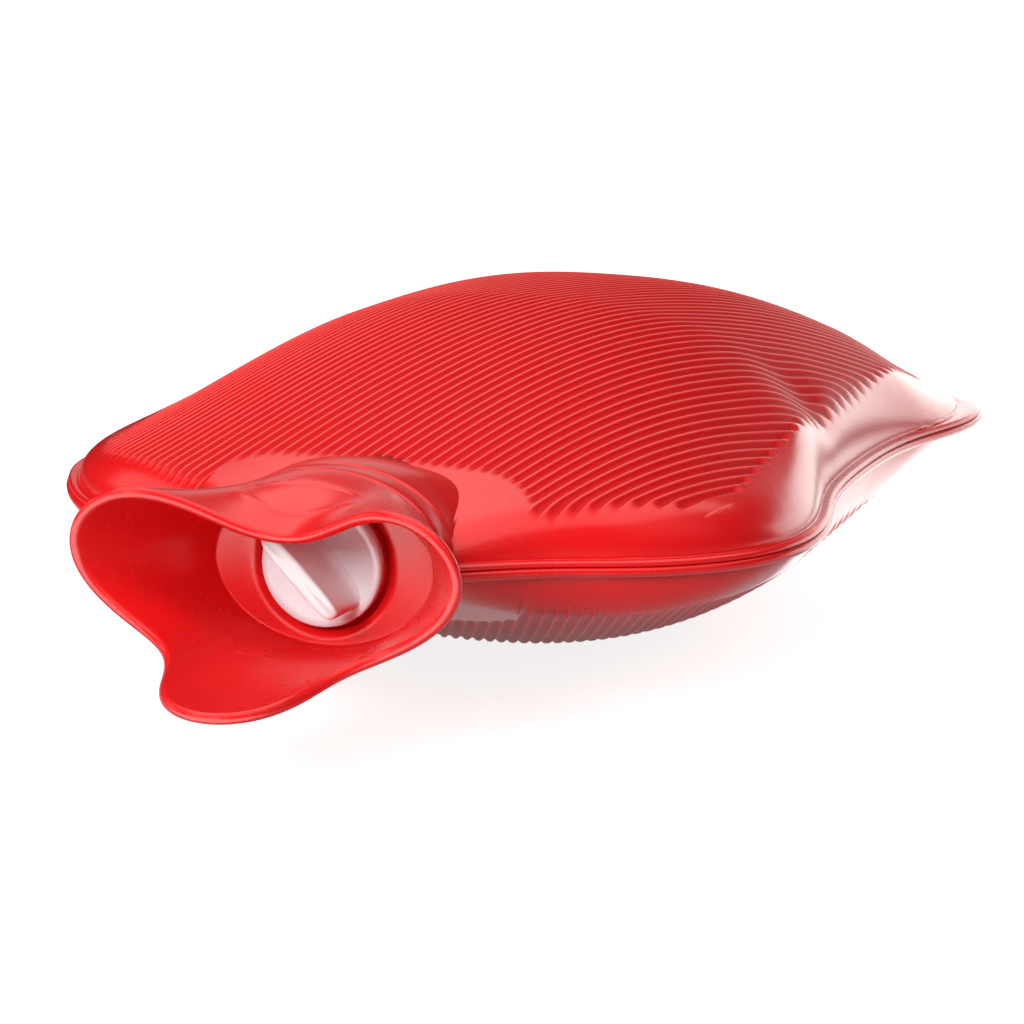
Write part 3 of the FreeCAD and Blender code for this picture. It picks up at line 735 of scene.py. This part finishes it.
def stopper_rings():
    """Rings of the round body. The dish is a shallow bowl whose depth falls with the fourth power of r."""
    rings = [round_ring(r, DISC_FRONT + DISH_DEPTH - DISH_SWEEP * (r / DISH_RADIUS) ** 4, STOPPER_STEPS)
             for r in DISH_RADII]
    rings += [round_ring(radius, y, STOPPER_STEPS) for radius, y in DISC_PROFILE]
    for y in np.linspace(SHANK_START, SHANK_END, 44):
        fade = min((y - THREAD_START) / THREAD_RUN, (SHANK_END - y) / THREAD_RUN_OUT)
        fade = float(np.clip(fade, 0, 1))
        rings.append(thread_ring(SHANK_RADIUS, SHANK_THREAD, fade, y, STOPPER_STEPS))
    return rings + [round_ring(radius, y, STOPPER_STEPS) for radius, y in HOLLOW_PROFILE]


def stopper_body():
    """Points and faces of the disc and the hollow shank."""
    return capped(stopper_rings(), (0.0, DISC_FRONT + DISH_DEPTH, 0.0), (0.0, HOLLOW_TOP, 0.0))


print("stopper", len(stopper_rings()), "rings")

# %% [markdown]
# The blade is a tall thin grip with rounded ends, turned 45 degrees. A bevelled box would have the same width
# at every height, but the real one is drawn a little wider towards the disc and its foot spreads into the
# dish. So its outlines are stacked: each is a superellipse, a long oval with nearly straight sides.

# %% Stopper: blade
BLADE_ANGLE = math.radians(45.0)
BLADE_STEPS = 96
BLADE_HALF_LENGTH = 12.3
BLADE_HALF_WIDTH = 2.25
BLADE_END_POWER, BLADE_SIDE_POWER = 0.45, 0.55
# Distance along the neck axis, and inset of the outline
BLADE_LEVELS = [(-16.4, 1.3), (-16.4, 0.5), (-16.3, 0.18), (-16.0, 0.02), (-15.4, 0.0), (-12.0, -0.05),
                (-8.0, -0.12), (-5.0, -0.2), (-3.6, -0.3), (-2.9, -0.6), (-2.4, -1.3), (-1.6, -2.2)]
TOP_Y = -14.0
TOP_DROP = 1.1
TOP_FLAT, TOP_RUN = 9.6, 2.9


def rounded_power(value, power):
    """Power of a number's size with its sign kept: it makes a circle's sine and cosine squarer."""
    return np.sign(value) * np.abs(value) ** power


def blade():
    """Closed slab from stacked outlines. Its top falls a little towards both ends."""
    t = np.linspace(0, 2 * np.pi, BLADE_STEPS, endpoint=False)
    rings = []
    for y, inset in BLADE_LEVELS:
        x = (BLADE_HALF_LENGTH - inset * 0.8) * rounded_power(np.cos(t), BLADE_END_POWER)
        z = max(BLADE_HALF_WIDTH - inset, 0.05) * rounded_power(np.sin(t), BLADE_SIDE_POWER)
        end = np.clip((np.abs(x) - TOP_FLAT) / TOP_RUN, 0, 1)
        drop = (TOP_DROP * end**2.4) if y < TOP_Y else 0.0
        rings.append(np.column_stack([x, y + drop * np.ones(BLADE_STEPS), z]))
    rings = np.stack(rings)
    c, s = math.cos(BLADE_ANGLE), math.sin(BLADE_ANGLE)
    x, z = rings[..., 0].copy(), rings[..., 2].copy()
    rings[..., 0] = c * x + s * z
    rings[..., 2] = -s * x + c * z
    return capped(rings, rings[0].mean(axis=0), rings[-1].mean(axis=0))


print("blade", len(BLADE_LEVELS), "outlines")

# %% [markdown]
# Moulded rubber is satin, with faint mottling and a fine grain. An image texture would need seams, so the
# patterns are noise in Object coordinates. Both rubbers share them through one node group with its own inputs.
# It also reads the panel's three numbers: painted shade in flutes, painted highlights on crests, and rougher
# ribs.

# %% Rubber surface, shared by both rubbers
def node(nodes, kind, **values):
    """New shader node. Each value is a property of that name, or else the constant of an input."""
    made = nodes.new("ShaderNode" + kind)
    for key, value in values.items():
        if hasattr(made, key):
            setattr(made, key, value)
        else:
            made.inputs[key.replace("_", " ")].default_value = value
    return made


def scaled(nodes, links, source, factor, offset):
    """Source times a factor plus an offset, which is a number or an output."""
    made = node(nodes, "Math", operation="MULTIPLY_ADD")
    links.new(source, made.inputs[0])
    made.inputs[1].default_value = factor
    if isinstance(offset, float):
        made.inputs[2].default_value = offset
    else:
        links.new(offset, made.inputs[2])
    return made.outputs[0]


def blend(nodes, links, share, first, second):
    """Mix node from one colour to another by a share."""
    made = node(nodes, "Mix", data_type="RGBA", clamp_factor=True)
    for label, source in (("Factor", share), ("A", first), ("B", second)):
        links.new(source, made.inputs[label])
    return made.outputs["Result"]


def panel_value(nodes, name):
    """Output of one of the numbers stored with the panel's points."""
    return node(nodes, "Attribute", attribute_name=name).outputs["Fac"]


def rubber_surface():
    """Node group: mottled colour, painted shade in the flutes, painted highlights on the crests, uneven gloss
    and a fine grain.
    """
    group = bpy.data.node_groups.new("rubber_surface", "ShaderNodeTree")
    sockets = {"INPUT": (("Colour", "Color"), ("Flute_shade_and_mottle", "Color"), ("Painted_highlight", "Color"), ("Gloss", "Float"),
                         ("Grain", "Float")),
               "OUTPUT": (("Colour", "Color"), ("Roughness", "Float"), ("Normal", "Vector"))}
    for side, labels in sockets.items():
        for label, kind in labels:
            group.interface.new_socket(label, in_out=side, socket_type="NodeSocket" + kind)
    nodes, links = group.nodes, group.links
    given, out = nodes.new("NodeGroupInput"), nodes.new("NodeGroupOutput")
    place = nodes.new("ShaderNodeTexCoord")
    mottle = node(nodes, "TexNoise", Scale=38.0, Detail=4.0, Roughness=0.6)
    fine = node(nodes, "TexNoise", Scale=1500.0, Detail=3.0)
    for texture in (mottle, fine):
        links.new(place.outputs["Object"], texture.inputs["Vector"])
    patches = mottle.outputs["Fac"]

    # Painted shade: the flutes are darkened towards the second colour, which the mottle patches also use.
    mottle_and_flute_shade = scaled(nodes, links, panel_value(nodes, "flute"), 0.75, scaled(nodes, links, patches, 0.35, -0.05))
    body = blend(nodes, links, mottle_and_flute_shade, given.outputs["Colour"], given.outputs["Flute_shade_and_mottle"])
    # Painted highlight: the crests are lightened towards the third colour, unevenly with the mottle.
    crest_highlight_share = node(nodes, "Math", operation="MULTIPLY")
    links.new(panel_value(nodes, "crest"), crest_highlight_share.inputs[0])
    links.new(scaled(nodes, links, patches, 0.6, 0.5), crest_highlight_share.inputs[1])
    colour = blend(nodes, links, crest_highlight_share.outputs[0], body, given.outputs["Painted_highlight"])
    gloss = scaled(nodes, links, patches, 0.12, given.outputs["Gloss"])
    rough = scaled(nodes, links, panel_value(nodes, "matte"), 0.15, gloss)
    bump = node(nodes, "Bump", Distance=0.0002)
    links.new(given.outputs["Grain"], bump.inputs["Strength"])
    links.new(fine.outputs["Fac"], bump.inputs["Height"])
    for label, source in (("Colour", colour), ("Roughness", rough), ("Normal", bump.outputs["Normal"])):
        links.new(source, out.inputs[label])
    return group

# %% [markdown]
# Each rubber is a Principled shader with the shared surface and its own reds. The ribs of the real bag throw
# back less light than its smooth parts, so the specular level falls where the panel's matte number rises. That
# one value stays outside the group, beside the shader.

# %% Two rubbers
MATTE_LOSS = -0.40
SPECULAR = 0.5


def rubber(name, colour, mottle_and_flute_shade, crest_highlight, gloss, grain, group):
    """Material from the shared surface: colour, mottle, painted flute shade and crest highlight, roughness,
    grain.
    """
    material = bpy.data.materials.new(name)
    material.use_nodes = True
    nodes, links = material.node_tree.nodes, material.node_tree.links
    shader = nodes["Principled BSDF"]
    look = nodes.new("ShaderNodeGroup")
    look.node_tree = group
    for label, value in (("Colour", colour), ("Flute_shade_and_mottle", mottle_and_flute_shade), ("Painted_highlight", crest_highlight)):
        look.inputs[label].default_value = (*value, 1)
    look.inputs["Gloss"].default_value = gloss
    look.inputs["Grain"].default_value = grain
    for label, target in (("Colour", "Base Color"), ("Roughness", "Roughness"), ("Normal", "Normal")):
        links.new(look.outputs[label], shader.inputs[target])
    specular = scaled(nodes, links, panel_value(nodes, "matte"), MATTE_LOSS, SPECULAR)
    links.new(specular, shader.inputs["Specular IOR Level"])
    return material


surface = rubber_surface()
# The second colour gives the mottle and the painted shade in the flutes, the third the painted highlight on the
# crests.
red_rubber = rubber("red_rubber_look", (0.76, 0.008, 0.010), (0.50, 0.002, 0.005), (0.92, 0.12, 0.11),
                    0.20, 0.03, surface)
funnel_rubber = rubber("funnel_rubber_look", (0.76, 0.010, 0.012), (0.60, 0.005, 0.008), (0.9, 0.1, 0.1),
                       0.22, 0.03, surface)
print("rubbers", red_rubber.name, funnel_rubber.name)

# %% [markdown]
# The stopper is a cool white plastic with a clear gloss. One flat colour would look like plaster, so a noise
# with a little distortion gives it faint flow marks, in its colour and in its roughness.

# %% White plastic
def plastic():
    """White plastic: flow marks in the colour and in the gloss."""
    material = bpy.data.materials.new("white_plastic_look")
    material.use_nodes = True
    nodes, links = material.node_tree.nodes, material.node_tree.links
    shader = nodes["Principled BSDF"]
    place = nodes.new("ShaderNodeTexCoord")
    flow = node(nodes, "TexNoise", Scale=160.0, Detail=3.0, Distortion=0.6)
    links.new(place.outputs["Object"], flow.inputs["Vector"])
    colour = node(nodes, "Mix", data_type="RGBA")
    colour.inputs["A"].default_value = (0.80, 0.92, 0.97, 1)
    colour.inputs["B"].default_value = (0.74, 0.86, 0.92, 1)
    links.new(flow.outputs["Fac"], colour.inputs["Factor"])
    links.new(colour.outputs["Result"], shader.inputs["Base Color"])
    links.new(scaled(nodes, links, flow.outputs["Fac"], 0.10, 0.14), shader.inputs["Roughness"])
    return material


white_plastic = plastic()
print("plastic", white_plastic.name)

# %% [markdown]
# The pieces are made here, and each one says which node of the frame it replaces and which body it rides on.
# The disc and the blade ride on the stopper, so they turn and lift with it. The washer keeps its CAD shape,
# because it is a plain ring, and takes the rubber look.

# %% Make the pieces
points, faces, values = bag_half(UPPER)
new_piece("bag_upper", points, faces, "bottle", red_rubber, ["upper_half"], values)
points, faces, values = bag_half(LOWER)
new_piece("bag_lower", points, faces, "bottle", red_rubber, ["lower_half"], values)
points, faces = tube(neck_rings())
new_piece("neck", points, faces, "bottle", red_rubber, ["upper_half", "lower_half"])
points, faces = tube(funnel_rings())
new_piece("pouring_funnel", points, faces, "bottle", funnel_rubber, ["funnel"])
points, faces = stopper_body()
new_piece("stopper_disc", points, faces, "cap", white_plastic, ["stopper"])
points, faces = blade()
new_piece("stopper_blade", points, faces, "cap", white_plastic, ["stopper"])
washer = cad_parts["sealing_washer"]
for entry in washer.material_slots:
    entry.material = funnel_rubber

# %% [markdown]
# The camera stands in front of the funnel, to the right and a little above, at the photograph's angle. It
# could be aimed at the bottle by a constraint, but its place and its three turns were fitted to the photograph,
# so its matrix is written out: the view direction, the right-hand side and the upward side, rolled a little.

# %% Camera
CAMERA_AT = (0.26565, -0.80686, 0.20278)
YAW, PITCH, ROLL = (math.radians(a) for a in (18.44, 11.61, 1.57))
FOCAL_PIXELS, IMAGE_PIXELS, SENSOR = 3200, 1024, 36.0


def camera_matrix():
    """Place and turn of the camera from its yaw, its downward pitch and its roll."""
    ahead = Vector((-math.sin(YAW) * math.cos(PITCH), math.cos(YAW) * math.cos(PITCH), -math.sin(PITCH)))
    right = Vector((math.cos(YAW), math.sin(YAW), 0.0))
    up = right.cross(ahead)
    turned = right * math.cos(ROLL) + up * math.sin(ROLL)
    up = up * math.cos(ROLL) - right * math.sin(ROLL)
    matrix = Matrix((turned, up, -ahead)).transposed().to_4x4()
    matrix.translation = Vector(CAMERA_AT)
    return matrix


lens = bpy.data.cameras.new("camera")
lens.sensor_width = SENSOR
lens.lens = FOCAL_PIXELS / IMAGE_PIXELS * SENSOR
camera = bpy.data.objects.new("camera", lens)
bpy.context.collection.objects.link(camera)
camera.matrix_world = camera_matrix()
scene = bpy.context.scene
scene.camera = camera
scene.view_settings.view_transform = "Standard"
print("lens", lens.lens, "mm")

# %% [markdown]
# A studio lights a product with soft boxes, and each one both colours the rubber and shows in it as a sheen.
# Here the two jobs are split. The diffuse lamps fill the red from the front and from both sides, and no ray
# that mirrors sees them, so the colour stays deep. The glossy lamps are reflection cards: they give no light,
# and each one makes the sheen that the photograph shows on one part, such as the pale band at the right-hand
# waist or the soft light inside the funnel. No lamp is seen by the camera itself.

# %% Lamps and reflection cards
LAMP_COLOUR = (1, 0.96, 0.93)
# Name, place, target, size, power and use
LAMPS = [
    ("fill", (-0.6, -0.9, 1.1), (0, 0, 0.02), (0.7, 0.7), 15.0, "diffuse"),
    ("front", (-0.05, -1.15, 0.48), (0, 0, 0.02), (0.4, 0.4), 8.0, "diffuse"),
    ("fill_right", (1.0, -0.4, 0.8), (0, 0, 0.02), (0.8, 0.8), 4.0, "diffuse"),
    ("fill_back", (0.1, 1.3, 0.9), (0, 0, 0.02), (0.8, 0.8), 4.0, "diffuse"),
    ("overhead", (0.0, -0.05, 1.0), (0, -0.05, 0.0), (1.5, 1.6), 15.0, "glossy"),
    ("side", (0.42, 1.1, 0.2), (0.05, 0.05, 0.05), (1.4, 0.45), 6.5, "glossy"),
    ("back", (-0.5, 1.05, 0.5), (0, 0, 0.03), (0.7, 0.35), 0.6, "glossy"),
    ("left", (-1.1, -0.25, 0.45), (0, -0.1, 0.04), (0.6, 0.5), 1.3, "glossy"),
    ("floor_card", (0.24, 0.22, 0.004), (0.24, 0.22, 1.0), (0.4, 0.4), 1.1, "glossy"),
    ("front_low", (-0.4, -1.1, 0.14), (0, -0.15, 0.04), (0.9, 0.3), 3.2, "glossy"),
    ("front_floor", (-0.12, -0.42, 0.004), (-0.12, -0.42, 1.0), (0.5, 0.4), 3.0, "glossy"),
]


def area_light(name, place, target, size, power, use):
    """Rectangular lamp aimed at a target, for diffuse or for glossy rays only."""
    light = bpy.data.lights.new(name, "AREA")
    light.shape = "RECTANGLE"
    light.size, light.size_y = size
    light.energy = power
    light.color = LAMP_COLOUR
    lamp = bpy.data.objects.new(name, light)
    bpy.context.collection.objects.link(lamp)
    lamp.location = place
    aim = Vector(target) - Vector(place)
    lamp.rotation_euler = aim.to_track_quat("-Z", "Y").to_euler()
    lamp.visible_camera = False
    lamp.visible_diffuse = use == "diffuse"
    lamp.visible_glossy = use == "glossy"


for lamp in LAMPS:
    area_light(*lamp)
print("lamps", len(LAMPS))

# %% [markdown]
# The surround is white for the camera, and very faint for every other ray, so that it doesn't wash out the
# red. The floor is pale. Camera rays also see it glow, a little less near the bottle, so that its plain colour
# adds up to white and the bottle keeps a soft shadow. Glossy rays see it as a bright patch that fades out with
# the distance from the bottle, as a lit table top shows in the underside.

# %% Surround and floor
SURROUND = 0.02
FLOOR_COLOUR = 0.6
FLOOR_HALF_SIZE = 4
MIRRORED_GLOW = (("From Min", 0.25), ("From Max", 0.7), ("To Min", 0.6), ("To Max", 0.0))
SEEN_GLOW = (("From Min", 0.3), ("From Max", 0.7), ("To Min", 0.85), ("To Max", 1.0))

world = bpy.data.worlds.new("studio")
scene.world = world
world.use_nodes = True
nodes, links = world.node_tree.nodes, world.node_tree.links
background = nodes["Background"]
path = nodes.new("ShaderNodeLightPath")
white = nodes.new("ShaderNodeBackground")
white.inputs["Color"].default_value = (1, 1, 1, 1)
mix = nodes.new("ShaderNodeMixShader")
background.inputs["Color"].default_value = (1, 1, 1, 1)
background.inputs["Strength"].default_value = SURROUND
links.new(path.outputs["Is Camera Ray"], mix.inputs[0])
links.new(background.outputs[0], mix.inputs[1])
links.new(white.outputs[0], mix.inputs[2])
links.new(mix.outputs[0], nodes["World Output"].inputs["Surface"])


def by_distance(nodes, links, away, spans):
    """Smooth change of a value with the distance from the middle of the floor."""
    made = node(nodes, "MapRange", interpolation_type="SMOOTHSTEP")
    for label, value in spans:
        made.inputs[label].default_value = value
    links.new(away.outputs["Value"], made.inputs["Value"])
    return made.outputs["Result"]


def floor_look():
    """Pale floor: plain colour and glow for the camera, a fading glow for glossy rays."""
    material = bpy.data.materials.new("floor_look")
    material.use_nodes = True
    nodes, links = material.node_tree.nodes, material.node_tree.links
    shader = nodes["Principled BSDF"]
    shader.inputs["Base Color"].default_value = (FLOOR_COLOUR, FLOOR_COLOUR, FLOOR_COLOUR, 1)
    shader.inputs["Roughness"].default_value = 0.6
    shader.inputs["Emission Color"].default_value = (1, 1, 1, 1)
    bright = nodes.new("ShaderNodeEmission")
    path = nodes.new("ShaderNodeLightPath")
    mix = nodes.new("ShaderNodeMixShader")
    place = nodes.new("ShaderNodeTexCoord")
    away = node(nodes, "VectorMath", operation="LENGTH")
    seen = node(nodes, "Math", operation="MULTIPLY")
    links.new(place.outputs["Object"], away.inputs[0])
    links.new(by_distance(nodes, links, away, SEEN_GLOW), seen.inputs[0])
    links.new(path.outputs["Is Camera Ray"], seen.inputs[1])
    links.new(seen.outputs[0], shader.inputs["Emission Strength"])
    links.new(by_distance(nodes, links, away, MIRRORED_GLOW), bright.inputs["Strength"])
    links.new(path.outputs["Is Glossy Ray"], mix.inputs[0])
    links.new(shader.outputs[0], mix.inputs[1])
    links.new(bright.outputs[0], mix.inputs[2])
    links.new(mix.outputs[0], nodes["Material Output"].inputs["Surface"])
    return material


def floor_piece():
    """One large square under the bottle. It is not attached to any body."""
    s = FLOOR_HALF_SIZE
    mesh = bpy.data.meshes.new("floor")
    mesh.from_pydata([(-s, -s, 0), (s, -s, 0), (s, s, 0), (-s, s, 0)], [], [(0, 1, 2, 3)])
    mesh.materials.append(floor_look())
    floor = bpy.data.objects.new("floor", mesh)
    bpy.context.collection.objects.link(floor)


floor_piece()
print("floor", 2 * FLOOR_HALF_SIZE, "m wide")
